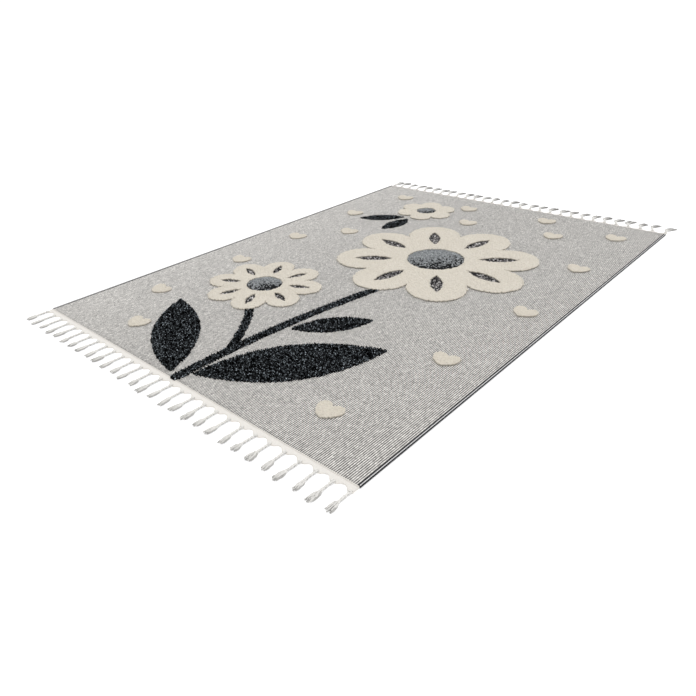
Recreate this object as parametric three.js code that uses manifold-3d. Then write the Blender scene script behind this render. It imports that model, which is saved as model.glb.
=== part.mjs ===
// Woven kids rug, 120 x 170 cm, lying flat, in millimetres with +Z up.
// The origin is on the floor under the middle of the rug: +X runs across the width, +Y along the length.

import * as THREE from 'three';
import { mergeVertices } from 'three/addons/utils/BufferGeometryUtils.js';
import Module from 'manifold-3d';

const wasm = await Module();
wasm.setup();

// Driving dimensions
const RUG_WIDTH = 1200;
const RUG_LENGTH = 1700;
const GROUND_THICK = 5;
const PILE_TOP = 11;
const LOW_PILE_TOP = 9.5;
const SHAG_TOP = 10.5;
const PILE_ROOT = 1;
const PILE_EDGE = 1.5;
const GAP = 0.3;

const HALF_WIDTH = RUG_WIDTH / 2;
const HALF_LENGTH = RUG_LENGTH / 2;

// Serged edge: yarn wrapped over the rug's side, which enters its groove as a thinner tongue
const BINDING = { width: 8, thick: 5.6, groove: 4, grooveLow: 1.4, grooveHigh: 4, corner: 1.6, cornerSteps: 3 };

// Woven end band with a tassel at each root and a shallow arch between every two
const BAND = { depth: 20, archDepth: 9, thick: 2.5, rootHalf: 9, archSteps: 4 };
const TASSELS = { count: 29, length: 73, inset: 6, topWidth: 0.7 };

// How much the tassels differ, each by its place in the row: an amount, and a turn of the sine for each step
const SHORTER = { most: 0.09, step: 1.7 };
const FULLER = { mean: 0.88, swing: 0.12, step: 1.3 };
const LEAN = { near: 4, far: 3, step: 2.4, start: 0.6 };
const BOW = { near: 0, far: 14, mean: 0.85, swing: 0.15, step: 1.9 };

// Sections along one tassel: distance from the band's rim as a part of its length, width and height,
// and how much of the tassel's lean and of its sideways bow they have
const TASSEL_SECTIONS = [
  { along: -0.08, width: 14, height: 2.2, lean: 0, bow: 0 },
  { along: 0.09, width: 10, height: 4.5, lean: 0, bow: 0.1 },
  { along: 0.22, width: 7, height: 6, lean: 0.1, bow: 0.45 },
  { along: 0.52, width: 7, height: 6, lean: 0.5, bow: 1 },
  { along: 0.72, width: 16, height: 8.5, lean: 0.85, bow: 0.85 },
  { along: 0.92, width: 18, height: 8, lean: 1, bow: 0.3 },
  { along: 1.0, width: 11, height: 3, lean: 1, bow: 0 },
];

// Flowers: petals of pile with a low slit in each, round a disc of shorter pile
const FLOWERS = [
  { x: 95, y: 165, radius: 335, petals: 8, steps: 12, slits: true, disc: 92, turn: 0.2 },
  { x: -215, y: -330, radius: 190, petals: 8, steps: 10, slits: true, disc: 54, turn: 0.05 },
  { x: -235, y: 600, radius: 120, petals: 6, steps: 10, slits: false, disc: 36, turn: 0.3 },
];
const PETAL = { valley: 0.66, roundness: 0.55 };
const SLIT = { start: 0.42, end: 0.81, halfWidth: 0.06 };
const DISC_STEPS = 32;

// Leaves of shag: a lens from its base to its tip
const LEAVES = [
  { baseX: 40, baseY: -815, tipX: 345, tipY: -420, halfWidth: 88 },
  { baseX: 0, baseY: -842, tipX: -345, tipY: -560, halfWidth: 70 },
  { baseX: 62, baseY: -500, tipX: 215, tipY: -310, halfWidth: 44 },
  { baseX: -258, baseY: 488, tipX: -405, tipY: 372, halfWidth: 34 },
  { baseX: -230, baseY: 478, tipX: -248, tipY: 312, halfWidth: 34 },
];

// Stems: a centre line through three points, with its width
const STEMS = [
  { fromX: 25, fromY: -842, midX: 15, midY: -500, toX: 90, toY: -125, halfWidth: 19 },
  { fromX: 26, fromY: -690, midX: -30, midY: -560, toX: -130, toY: -470, halfWidth: 16 },
];
const STEM_STEPS = 8;

// Hearts, each pointing towards the near end with a slight turn
const HEART = { width: 72, height: 62, steps: 5 };

// The right half of a heart from its point up to its notch, in halves of its width and height: each
// curve's two handles and its end. The left half is its mirror.
const HEART_SIDE = [
  { handleX: 0.5, handleY: -0.75, secondX: 1, secondY: -0.3, endX: 1, endY: 0.4 },
  { handleX: 1, handleY: 1.15, secondX: 0.25, secondY: 1.15, endX: 0, endY: 0.55 },
];
const HEARTS = [
  { x: -420, y: 708, turn: 0.12 },
  { x: -110, y: 718, turn: -0.08 },
  { x: 210, y: 745, turn: 0.05 },
  { x: 480, y: 701, turn: -0.1 },
  { x: -20, y: 560, turn: 0.1 },
  { x: 300, y: 600, turn: 0.06 },
  { x: -462, y: 409, turn: 0.15 },
  { x: 491, y: 357, turn: -0.05 },
  { x: -330, y: 215, turn: 0.08 },
  { x: -453, y: 58, turn: 0.1 },
  { x: 504, y: -25, turn: -0.12 },
  { x: -443, y: -233, turn: 0.06 },
  { x: 476, y: -376, turn: 0.1 },
  { x: -453, y: -561, turn: -0.06 },
  { x: 400, y: -715, turn: 0.04 },
  { x: -306, y: -738, turn: 0.12 },
];

const groundWool = new THREE.MeshStandardMaterial({ color: 0xb9b9b6, roughness: 0.95, metalness: 0 });
const edgeYarn = new THREE.MeshStandardMaterial({ color: 0x4b4b4c, roughness: 0.9, metalness: 0 });
const fringeCotton = new THREE.MeshStandardMaterial({ color: 0xe8e6df, roughness: 0.92, metalness: 0 });

// A closed geometry as a solid, with its doubled corners merged
function toSolid(geometry) {
  const bare = geometry.index ? geometry.toNonIndexed() : geometry.clone();
  bare.deleteAttribute('normal');
  bare.deleteAttribute('uv');
  const merged = mergeVertices(bare, 1e-4);
  const mesh = new wasm.Mesh({
    numProp: 3,
    vertProperties: new Float32Array(merged.attributes.position.array),
    triVerts: new Uint32Array(merged.index.array),
  });
  return new wasm.Manifold(mesh);
}

function toGeometry(solid) {
  const mesh = solid.getMesh();
  const geometry = new THREE.BufferGeometry();
  geometry.setAttribute('position', new THREE.BufferAttribute(mesh.vertProperties, 3));
  geometry.setIndex(new THREE.BufferAttribute(mesh.triVerts, 1));
  geometry.computeVertexNormals();
  return geometry;
}

// An outline drawn in X and Z, run along the whole length of the rug
function alongLength(outline, curveSegments = 1) {
  const geometry = new THREE.ExtrudeGeometry(outline, {
    depth: RUG_LENGTH,
    curveSegments,
    bevelEnabled: false,
  });
  geometry.rotateX(Math.PI / 2);
  geometry.translate(0, HALF_LENGTH, 0);
  return geometry;
}

function outlineOf(points) {
  return new THREE.Shape(points.map(([x, y]) => new THREE.Vector2(x, y)));
}

// Raised pile: the outline drawn in at its rounded upper edge, its foot inside the ground
function pile(outline, top, curveSegments = 6) {
  const height = top - GROUND_THICK + PILE_ROOT - PILE_EDGE;
  const geometry = new THREE.ExtrudeGeometry(outline, {
    depth: height,
    curveSegments,
    bevelEnabled: true,
    bevelThickness: PILE_EDGE,
    bevelSize: PILE_EDGE,
    bevelOffset: -PILE_EDGE,
    bevelSegments: 1,
  });
  geometry.translate(0, 0, GROUND_THICK - PILE_ROOT);
  return toSolid(geometry);
}

function petalRadius(spec, angle) {
  const swell = Math.abs(Math.sin((spec.petals * angle) / 2)) ** PETAL.roundness;
  return spec.radius * (PETAL.valley + (1 - PETAL.valley) * swell);
}

function flowerOutline(spec) {
  const count = spec.petals * spec.steps;
  const points = [];
  for (let i = 0; i < count; i += 1) {
    const angle = (i / count) * Math.PI * 2;
    const radius = petalRadius(spec, angle);
    const turned = angle + spec.turn;
    points.push([spec.x + radius * Math.cos(turned), spec.y + radius * Math.sin(turned)]);
  }
  return outlineOf(points);
}

// A lens between two points, each side one curve
function lensOutline(from, to, halfWidth) {
  const along = new THREE.Vector2().subVectors(to, from);
  const side = new THREE.Vector2(-along.y, along.x).normalize().multiplyScalar(halfWidth * 2);
  const middle = from.clone().add(to).multiplyScalar(0.5);
  const left = middle.clone().add(side);
  const right = middle.clone().sub(side);
  const outline = new THREE.Shape();
  outline.moveTo(from.x, from.y);
  outline.quadraticCurveTo(right.x, right.y, to.x, to.y);
  outline.quadraticCurveTo(left.x, left.y, from.x, from.y);
  return outline;
}

function slitOutline(spec, petal) {
  const angle = ((petal + 0.5) / spec.petals) * Math.PI * 2 + spec.turn;
  const direction = new THREE.Vector2(Math.cos(angle), Math.sin(angle));
  const centre = new THREE.Vector2(spec.x, spec.y);
  const from = centre.clone().addScaledVector(direction, spec.radius * SLIT.start);
  const to = centre.clone().addScaledVector(direction, spec.radius * SLIT.end);
  return lensOutline(from, to, spec.radius * SLIT.halfWidth);
}

function circleOutline(x, y, radius) {
  const outline = new THREE.Shape();
  outline.absarc(x, y, radius, 0, Math.PI * 2, false);
  return outline;
}

// Petals in high pile, open at their slits and at the disc, which is lower
function flower(spec) {
  const petals = flowerOutline(spec);
  petals.holes.push(circleOutline(spec.x, spec.y, spec.disc));
  if (spec.slits) {
    for (let petal = 0; petal < spec.petals; petal += 1) {
      petals.holes.push(slitOutline(spec, petal));
    }
  }
  const disc = circleOutline(spec.x, spec.y, spec.disc + PILE_EDGE);
  return pile(petals, PILE_TOP).add(pile(disc, LOW_PILE_TOP, DISC_STEPS / 2));
}

function leaf(spec) {
  const base = new THREE.Vector2(spec.baseX, spec.baseY);
  const tip = new THREE.Vector2(spec.tipX, spec.tipY);
  return pile(lensOutline(base, tip, spec.halfWidth), SHAG_TOP, 8);
}

function stem(spec) {
  const line = new THREE.QuadraticBezierCurve(
    new THREE.Vector2(spec.fromX, spec.fromY),
    new THREE.Vector2(spec.midX, spec.midY),
    new THREE.Vector2(spec.toX, spec.toY),
  );
  const left = [];
  const right = [];
  for (let i = 0; i <= STEM_STEPS; i += 1) {
    const point = line.getPoint(i / STEM_STEPS);
    const tangent = line.getTangent(i / STEM_STEPS);
    right.push([point.x + tangent.y * spec.halfWidth, point.y - tangent.x * spec.halfWidth]);
    left.unshift([point.x - tangent.y * spec.halfWidth, point.y + tangent.x * spec.halfWidth]);
  }
  return pile(outlineOf([...right, ...left]), SHAG_TOP);
}

// A heart from four curves round its notch and point, turned about its middle
function heart(spec) {
  const w = HEART.width / 2;
  const h = HEART.height / 2;
  const [flank, lobe] = HEART_SIDE;
  const outline = new THREE.Shape();
  outline.moveTo(0, -h);
  for (const c of HEART_SIDE) {
    outline.bezierCurveTo(
      c.handleX * w, c.handleY * h, c.secondX * w, c.secondY * h, c.endX * w, c.endY * h,
    );
  }
  outline.bezierCurveTo(
    -lobe.secondX * w, lobe.secondY * h, -lobe.handleX * w, lobe.handleY * h, -flank.endX * w, flank.endY * h,
  );
  outline.bezierCurveTo(
    -flank.secondX * w, flank.secondY * h, -flank.handleX * w, flank.handleY * h, 0, -h,
  );
  const solid = pile(outline, PILE_TOP, HEART.steps);
  return solid.rotate([0, 0, THREE.MathUtils.radToDeg(spec.turn)]).translate([spec.x, spec.y, 0]);
}

// The ground's section: a slab whose two sides are drawn in to the tongues that the edges hold
function rugBody() {
  const side = HALF_WIDTH - BINDING.width;
  const tongue = side + BINDING.groove;
  const low = BINDING.grooveLow + GAP;
  const high = BINDING.grooveHigh - GAP;
  const outline = outlineOf([
    [-side, 0], [side, 0], [side, low], [tongue, low], [tongue, high], [side, high], [side, GROUND_THICK],
    [-side, GROUND_THICK], [-side, high], [-tongue, high], [-tongue, low], [-side, low],
  ]);
  const raised = [
    ...FLOWERS.map(flower),
    ...LEAVES.map(leaf),
    ...STEMS.map(stem),
    ...HEARTS.map(heart),
  ];
  return toGeometry(raised.reduce((body, solid) => body.add(solid), toSolid(alongLength(outline))));
}

// The right serged edge, rounded outside, open towards the rug along its groove; turned half round, the left
function binding(turn) {
  const inner = HALF_WIDTH - BINDING.width + GAP;
  const groove = inner + BINDING.groove;
  const c = BINDING.corner;
  const outline = new THREE.Shape();
  outline.moveTo(inner, 0);
  outline.absarc(HALF_WIDTH - c, c, c, -Math.PI / 2, 0, false);
  outline.absarc(HALF_WIDTH - c, BINDING.thick - c, c, 0, Math.PI / 2, false);
  outline.absarc(inner + c, BINDING.thick - c, c, Math.PI / 2, Math.PI, false);
  outline.lineTo(inner, BINDING.grooveHigh);
  outline.lineTo(groove, BINDING.grooveHigh);
  outline.lineTo(groove, BINDING.grooveLow);
  outline.lineTo(inner, BINDING.grooveLow);
  const geometry = alongLength(outline, BINDING.cornerSteps);
  geometry.rotateZ(turn);
  return geometry;
}

function tasselCentre(index) {
  const span = RUG_WIDTH - 2 * TASSELS.inset;
  return -span / 2 + (span * index) / (TASSELS.count - 1);
}

// The woven band: straight against the rug, arched between the tassels' roots at its outer rim
function bandOutline() {
  const outline = new THREE.Shape();
  outline.moveTo(HALF_WIDTH, GAP);
  const last = TASSELS.count - 1;
  outline.lineTo(HALF_WIDTH, BAND.depth);
  for (let i = last; i > 0; i -= 1) {
    const start = tasselCentre(i) - BAND.rootHalf;
    const end = tasselCentre(i - 1) + BAND.rootHalf;
    const crown = BAND.depth - 2 * BAND.archDepth;
    outline.lineTo(start, BAND.depth);
    outline.quadraticCurveTo((start + end) / 2, crown, end, BAND.depth);
  }
  outline.lineTo(-HALF_WIDTH, BAND.depth);
  outline.lineTo(-HALF_WIDTH, GAP);
  return outline;
}

// One tassel: a box drawn out along its sections, flat on the floor, with a narrower top
function tassel(index, leanReach, bowReach) {
  const rows = TASSEL_SECTIONS.length - 1;
  const geometry = new THREE.BoxGeometry(1, rows, 1, 1, rows, 1);
  const middle = (TASSELS.count - 1) / 2;
  const length = TASSELS.length * (1 - SHORTER.most * Math.abs(Math.sin((index - middle) * SHORTER.step)));
  const atCorner = Math.abs(index - middle) === middle;
  const lean = atCorner ? 0 : leanReach * Math.sin(index * LEAN.step + LEAN.start);
  const bow = atCorner ? 0 : -bowReach * (BOW.mean + BOW.swing * Math.sin(index * BOW.step));
  const fullness = FULLER.mean + FULLER.swing * Math.cos(index * FULLER.step);
  const position = geometry.attributes.position;
  for (let i = 0; i < position.count; i += 1) {
    const section = TASSEL_SECTIONS[Math.round(position.getY(i) + rows / 2)];
    const onTop = position.getZ(i) > 0;
    const swell = section.width * fullness * (onTop ? TASSELS.topWidth : 1);
    const width = atCorner ? Math.min(swell, 2 * TASSELS.inset) : swell;
    position.setXYZ(
      i,
      tasselCentre(index) + position.getX(i) * width + lean * section.lean + bow * section.bow,
      BAND.depth + section.along * length,
      onTop ? section.height : 0,
    );
  }
  return toSolid(geometry);
}

// A band and its tassels as one piece, beyond the far end or, turned half round, the near end
function fringe(leanReach, bowReach, turn) {
  const band = new THREE.ExtrudeGeometry(bandOutline(), {
    depth: BAND.thick,
    curveSegments: BAND.archSteps,
    bevelEnabled: false,
  });
  let solid = toSolid(band);
  for (let i = 0; i < TASSELS.count; i += 1) {
    solid = solid.add(tassel(i, leanReach, bowReach));
  }
  const geometry = toGeometry(solid);
  geometry.translate(0, HALF_LENGTH, 0);
  geometry.rotateZ(turn);
  return geometry;
}

const rug = new THREE.Group();

function place(name, geometry, material) {
  const mesh = new THREE.Mesh(geometry, material);
  mesh.name = name;
  rug.add(mesh);
}

place('rug_body', rugBody(), groundWool);
place('binding_left', binding(Math.PI), edgeYarn);
place('binding_right', binding(0), edgeYarn);
place('fringe_near', fringe(LEAN.near, BOW.near, Math.PI), fringeCotton);
place('fringe_far', fringe(LEAN.far, BOW.far, 0), fringeCotton);

export default rug;
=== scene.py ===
import math
import random
from functools import partial

import bmesh
import bpy
from mathutils import Matrix, Vector, geometry, noise


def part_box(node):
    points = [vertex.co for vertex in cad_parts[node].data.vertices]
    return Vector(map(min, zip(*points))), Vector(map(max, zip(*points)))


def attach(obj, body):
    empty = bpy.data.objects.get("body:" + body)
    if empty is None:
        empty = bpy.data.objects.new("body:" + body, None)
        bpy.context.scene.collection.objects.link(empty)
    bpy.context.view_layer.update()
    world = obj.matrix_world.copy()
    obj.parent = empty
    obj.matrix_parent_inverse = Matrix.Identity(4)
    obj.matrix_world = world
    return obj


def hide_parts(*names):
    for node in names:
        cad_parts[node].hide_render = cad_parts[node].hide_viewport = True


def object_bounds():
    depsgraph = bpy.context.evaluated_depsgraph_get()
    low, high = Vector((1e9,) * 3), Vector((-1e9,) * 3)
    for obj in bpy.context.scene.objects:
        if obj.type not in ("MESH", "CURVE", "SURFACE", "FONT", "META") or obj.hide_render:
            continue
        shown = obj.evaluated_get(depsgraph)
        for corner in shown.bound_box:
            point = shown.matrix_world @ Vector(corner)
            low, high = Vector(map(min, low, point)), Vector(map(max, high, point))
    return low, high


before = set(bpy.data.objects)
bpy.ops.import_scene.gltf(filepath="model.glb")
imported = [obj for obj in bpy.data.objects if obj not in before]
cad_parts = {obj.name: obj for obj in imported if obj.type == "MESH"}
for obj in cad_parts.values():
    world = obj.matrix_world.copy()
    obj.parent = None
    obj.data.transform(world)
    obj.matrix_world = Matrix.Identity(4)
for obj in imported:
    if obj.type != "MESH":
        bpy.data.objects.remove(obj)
cad_low, cad_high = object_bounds()

# Sizes of the woven rug, from the boxes of its parts in model.glb, in metres
body_low, body_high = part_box("rug_body")
edge_low, edge_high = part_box("binding_right")
NEAR_Y = body_low.y
FAR_Y = body_high.y
LENGTH = FAR_Y - NEAR_Y
EDGE_OVERLAP = 0.0012
GROUND_HALF = edge_low.x + EDGE_OVERLAP
EDGE_TOP = edge_high.z
PILE_TOP = body_high.z
GROUND_TOP = 0.005
DISC_TOP = PILE_TOP - 0.0015
SHAG_TOP = PILE_TOP - 0.0005
SLIT_TOP = GROUND_TOP + 0.0025

# The weave: ribs run along the length, and each row of tufts crosses them
RIBS = 244
RIB = 2 * GROUND_HALF / RIBS
ROW = 0.0046
RIB_DEPTH = 0.0015
CREST_SHAKE = 0.00018
GROUND_ROWS = 170
GROUND_WAVE = 0.0004
WAVES_EACH_METRE = 3.1
GROUND_SEED = 5

# The ground's yarn: the lengths of its dashes of tone on a crest, of its dashes of painted shade in a
# hollow, and of a stitch, its relief, and its soft patches
CREST_DASH = 0.0048
HOLLOW_SHADE_DASH = 0.0085
STITCH_LENGTH = 0.0062
STITCH_RELIEF = 1.2
FIBRE_RELIEF = 0.5
SOFT_TONES = (0.95, 1.05)

# Painted shade in the hollow between two ribs: where it ends, its lightest tone, and how few dashes come
# near that
HOLLOW_SHADE_EDGE = (0.15, 0.27)
HOLLOW_SHADE_LIGHTEST = 0.36
HOLLOW_SHADE_FEWNESS = 2.0

# A tuft of cut pile: a foot down in the ground, a lowest part darkened with painted shade, and a domed
# head
TUFT_FOOT = GROUND_TOP - 0.0012
TUFT_SIDES = 5
TUFT_DOME = 0.14
FACING_UP = 0.9
FOOT_SHADE_DEPTH = 0.0020
TUFT_SHAKE = 0.0003
TUFT_WIDTHS = (0.92, 1.08)

# The pile's height wanders in soft patches, and is lower within a short reach of a motif's edge
NAP = 0.06
NAPS_EACH_METRE = 14
EDGE_LOWER = 0.07
EDGE_REACH = 0.007
EDGE_SIDES = 8

# Kinds of pile: each tuft's radii and top, how far it leans, its range of heights, and the first seed
PILES = {
    "petals": {
        "foot": 0.0026, "head": 0.0034, "top": PILE_TOP,
        "lean": 0.14, "edge_lean": 0.28, "heights": (0.94, 1.04), "seed": 10,
    },
    "disc": {
        "foot": 0.0024, "head": 0.0028, "top": DISC_TOP,
        "lean": 0.14, "edge_lean": 0.1, "heights": (0.93, 1.04), "seed": 20,
    },
    "slits": {
        "foot": 0.0026, "head": 0.0025, "top": SLIT_TOP,
        "lean": 0.1, "edge_lean": 0.0, "heights": (0.9, 1.1), "seed": 30,
    },
    "hearts": {
        "foot": 0.0016, "head": 0.0022, "top": PILE_TOP,
        "lean": 0.12, "edge_lean": 0.2, "heights": (0.92, 1.04), "seed": 50,
    },
    "shag": {
        "foot": 0.0033, "head": 0.0016, "top": SHAG_TOP,
        "lean": 0.45, "edge_lean": 0.3, "heights": (0.78, 1.16), "seed": 70,
    },
}

# How far inside its motif's outline the outermost tuft stands, since its head reaches past its foot
PILE_INSET = 0.0045
HEART_INSET = 0.0033
SLIT_INSET = 0.0015

# Camera: the photograph's own place, turn and lens, in its 696 pixel frame
PHOTO_SIZE = 696
CAMERA_PLACE = Vector((1.1283, -1.4908, 0.7633))
CAMERA_YAW = math.radians(135.155)
CAMERA_PITCH = math.radians(29.586)
CAMERA_ROLL = math.radians(-3.118)
FOCAL_PIXELS = 604.2
CENTRE_PIXEL = (307.4, 350.2)
SENSOR = 36.0
NEAREST_SEEN = 0.01

# Flowers, leaves, stems and hearts, as the solid part places them
FLOWERS = [
    {
        "name": "flower_large", "x": 0.095, "y": 0.165,
        "radius": 0.335, "petals": 8, "disc": 0.092, "turn": 0.2,
    },
    {
        "name": "flower_middle", "x": -0.215, "y": -0.330,
        "radius": 0.190, "petals": 8, "disc": 0.054, "turn": 0.05,
    },
    {
        "name": "flower_small", "x": -0.235, "y": 0.600,
        "radius": 0.120, "petals": 6, "disc": 0.036, "turn": 0.3,
    },
]
SLIT_FLOWERS = FLOWERS[:2]
PETAL_VALLEY = 0.66
PETAL_ROUNDNESS = 0.55
SLIT_START = 0.42
SLIT_END = 0.81
SLIT_HALF = 0.06

LEAVES = [
    {"base": (0.040, -0.815), "tip": (0.345, -0.420), "half": 0.088},
    {"base": (0.000, -0.842), "tip": (-0.345, -0.560), "half": 0.070},
    {"base": (0.062, -0.500), "tip": (0.215, -0.310), "half": 0.044},
    {"base": (-0.258, 0.488), "tip": (-0.405, 0.372), "half": 0.034},
    {"base": (-0.230, 0.478), "tip": (-0.248, 0.312), "half": 0.034},
]
STEMS = [
    {"start": (0.025, -0.842), "middle": (0.015, -0.500), "end": (0.090, -0.125), "half": 0.019},
    {"start": (0.026, -0.690), "middle": (-0.030, -0.560), "end": (-0.130, -0.470), "half": 0.016},
]
STEM_STEPS = 60
GREENERY_LOW = (-0.42, NEAR_Y + 0.002)
GREENERY_HIGH = (0.36, 0.50)

# Hearts: their tufts stand closer together than the others
HEART_CLOSENESS = 0.66
HEART_WIDTH = 0.072
HEART_HEIGHT = 0.062
HEART_REACH = 0.6 * HEART_WIDTH
HEART_STEPS = 9
HEARTS = [
    {"x": -0.420, "y": 0.708, "turn": 0.12},
    {"x": -0.110, "y": 0.718, "turn": -0.08},
    {"x": 0.210, "y": 0.745, "turn": 0.05},
    {"x": 0.480, "y": 0.701, "turn": -0.10},
    {"x": -0.020, "y": 0.560, "turn": 0.10},
    {"x": 0.300, "y": 0.600, "turn": 0.06},
    {"x": -0.462, "y": 0.409, "turn": 0.15},
    {"x": 0.491, "y": 0.357, "turn": -0.05},
    {"x": -0.330, "y": 0.215, "turn": 0.08},
    {"x": -0.453, "y": 0.058, "turn": 0.10},
    {"x": 0.504, "y": -0.025, "turn": -0.12},
    {"x": -0.443, "y": -0.233, "turn": 0.06},
    {"x": 0.476, "y": -0.376, "turn": 0.10},
    {"x": -0.453, "y": -0.561, "turn": -0.06},
    {"x": 0.400, "y": -0.715, "turn": 0.04},
    {"x": -0.306, "y": -0.738, "turn": 0.12},
]

# Sides across and ends along the rug: which way each lies from the middle
SIDES = {"left": -1, "right": 1}
ENDS = {"near": -1, "far": 1}

# Serged edge: yarn wrapped round the side in turns, each a low lump that slants along the edge
WRAP = 0.0040
WRAP_ROWS = 3
WRAP_AROUND = 12
WRAP_LUMP = 0.0006
LUMP_ASIDE = 0.5
WRAP_SLANT = 0.0015
EDGE_SWELL = 0.0004
EDGE_LIFT = 0.0003
ROUND_ABOVE = 0.5
ROUND_BELOW = 0.15
ROUND_UPRIGHT = 0.6
SAME_PLACE = 0.00001

# The light stitch line on each long edge: how far in it lies, and its thickness from its middle
STITCH_LINES = {
    "right": {"inset": 0.0012, "thick": 0.0010},
    "left": {"inset": 0.0030, "thick": 0.0021},
}
STITCH_PITCH = 0.0045
STITCH_PARTS = 3
STITCH_WAIST = 0.7
STITCH_RISE = 0.0002
STITCH_END = 0.001

# End bands, each with an arched rim, and the rolled yarn on their joint with the rug
BAND_DEPTH = 0.020
ARCH_DEPTH = 0.009
ROOT_HALF = 0.009
BAND_THICK = 0.0025
BAND_INSET = 0.001
BAND_FLOOR = 0.0002
BAND_COLUMNS = 14
BAND_ROWS = 7
BAND_RISE = 0.0018
BAND_RIPPLE = 0.0005
RIPPLES_ACROSS = 40
RIPPLES_OUT = 60
RIPPLE_SEED = 7.0
ROLL = {"inset": 0.002, "out": 0.0012, "height": 0.0044, "shake": 0.0002, "radius": 0.0013}
ROLL_STEPS = 300
ROLL_SEED = {"near": 30, "far": 32}

# Tassels, and how they differ along the row: each amount swings on a sine, with its own step
TASSELS = 29
TASSEL_INSET = 0.006
TASSEL_LENGTH = 0.073
TASSEL_STEPS = {"near": 22, "far": 16}
TASSEL_SEED = {"near": 89, "far": 91}
SHORTER = {"most": 0.09, "step": 1.7}
FULLER = {"mean": 0.88, "swing": 0.12, "step": 1.3}
LEAN = {"near": 0.004, "far": 0.003}
LEAN_TURN = {"start": 0.6, "step": 2.4}
BOW = {"near": 0.0, "far": 0.014}
BOW_TURN = {"mean": 0.85, "swing": 0.15, "step": 1.9}
BOW_EARLINESS = 1.35
CORNER_LEAN = {"near": 0.0, "far": 0.010}
CORNER_BOW = 0.5
SPREAD = {"near": 0.0078, "far": 0.0112}
SPREAD_RANGE = (0.8, 1.12)
CORNER_SPREAD = {"near": 0.0074, "far": 0.0112}

# A tassel's neck: two plies twisted round each other, wider and flatter at the root
NECK_SHARE = {"near": (0.40, 0.56), "far": (0.34, 0.48)}
TWIST_PITCH = (0.017, 0.022)
NECK_HEIGHT = 0.0036
PLY_ORBIT = 0.0013
ROOT_SHARE = 0.16
ROOT_WIDER = 0.0014
ROOT_FLATTER = 0.0006
ROOT_DEPTH = 0.004
YARN_ORBIT = (0.0011, 0.0010)
YARN_TWIST = 0.6
YARN_STEP = 2.3
KNOT = {"out": 0.002, "half": 0.0042, "rise": 0.0040, "height": 0.0026, "radius": 0.0011}
KNOT_STEPS = 8

# A tassel's brush: where each yarn of its lower and upper layer lies across, from -1 to 1
LOW_YARNS = (-1.0, -0.72, -0.22, 0.10, 0.62, 0.94)
HIGH_YARNS = (-0.76, -0.48, 0.0, 0.44, 0.73)
YARN_ASIDE = 0.08
YARN_SHORTER = 0.13
OUTER_SHORTER = 0.03
YARN_WAVE = 0.0008
WAVE_TURN = 30
OPENING_SHARE = 0.26
BRUSH_FULL = 0.85
BRUSH_FLARE = 0.25
FLARE_START = 0.55
LOW_LAYER = 0.0018
HIGH_LAYER = 0.0046
HIGH_LAYER_FALL = 0.0010
YARN_RADIUS = 0.00110
YARN_SWELL = 0.00040
TIP_START = 0.88
TIP_THINNER = 0.0008
FLOOR_CLEARANCE = 0.0001
YARN_ROUNDNESS = 1

# Tones of the yarns: each list runs from the darkest to the lightest, by place and colour
GROUND_YARN = [
    (0.00, (0.52, 0.505, 0.478)),
    (0.15, (0.68, 0.660, 0.626)),
    (0.80, (0.795, 0.771, 0.731)),
    (1.00, (0.97, 0.941, 0.892)),
]
CREAM_YARN = [
    (0.0, (0.695, 0.642, 0.542)),
    (0.5, (0.745, 0.692, 0.594)),
    (1.0, (0.786, 0.736, 0.637)),
]
CHARCOAL_YARN = [
    (0.0, (0.008, 0.009, 0.0096)),
    (0.6, (0.012, 0.0134, 0.0146)),
    (1.0, (0.020, 0.0225, 0.0243)),
]
GREY_YARN = [
    (0.0, (0.004, 0.005, 0.006)),
    (0.2, (0.008, 0.009, 0.011)),
    (0.3, (0.19, 0.20, 0.206)),
    (1.0, (0.36, 0.378, 0.385)),
]
DARK_YARN = [
    (0.0, (0.012, 0.011, 0.013)),
    (0.35, (0.050, 0.047, 0.050)),
    (0.75, (0.26, 0.247, 0.243)),
    (1.0, (0.82, 0.796, 0.772)),
]

# The dark specks of a disc gather on one side: their share at its middle, how it grows, and the tones
SPECK_SHARE = 0.22
SPECK_GROWTH = 0.46
SPECK_TONE = 0.05
UNSPECKED_TONES = (0.35, 1.0)

# Painted shade: the dark rim inside a slit's outline, where the cream pile's wall shades the crevice
SLIT_SHADE_RIM = 0.0045
RIM_SHADE_TONE = 0.0

# Plain pile: its tone wanders in soft patches round a middle one, and from tuft to tuft
MIDDLE_TONE = 0.5
PATCH_TONE = 0.25
PATCHES_EACH_METRE = 11
PATCH_SEED = 3.0
TUFT_TONE = 0.3

# Spun yarn: the scale that draws its fibres out, and where their noise turns dark and light
FIBRE_DRAWN = (1.0, 0.25, 1.0)
DARK_FIBRES = 0.32
LIGHT_FIBRES = 0.62

# Tassel yarn with painted shade: the heights between which its shade lifts, and how far past the band the
# brush has turned grey with shade
TASSEL_SHADE_SPAN = (0.0004, 0.0048)
TASSEL_SHADE_DARKEST = 0.28
BRUSH_SHADE_REACH = (0.030, 0.050)

# Studio: a wide floor that glows a little, a sky toned by height, and one large light
FLOOR_HALF = 200
FLOOR_DROP = 0.0004
FLOOR_WHITE = (0.96, 0.96, 0.96, 1)
GLOW_WHITE = (1.0, 1.0, 1.0, 1)
FLOOR_GLOW = 0.30
SKY = [
    (0.18, (1.08, 1.08, 1.08)),
    (0.34, (0.72, 0.72, 0.73)),
    (1.0, (0.65, 0.65, 0.66)),
]
LIGHT_WIDTH = math.radians(50)
LIGHT_POWER = 1.2
LIGHT_WAY = Vector((0.12, -0.30, -1.0))


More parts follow.
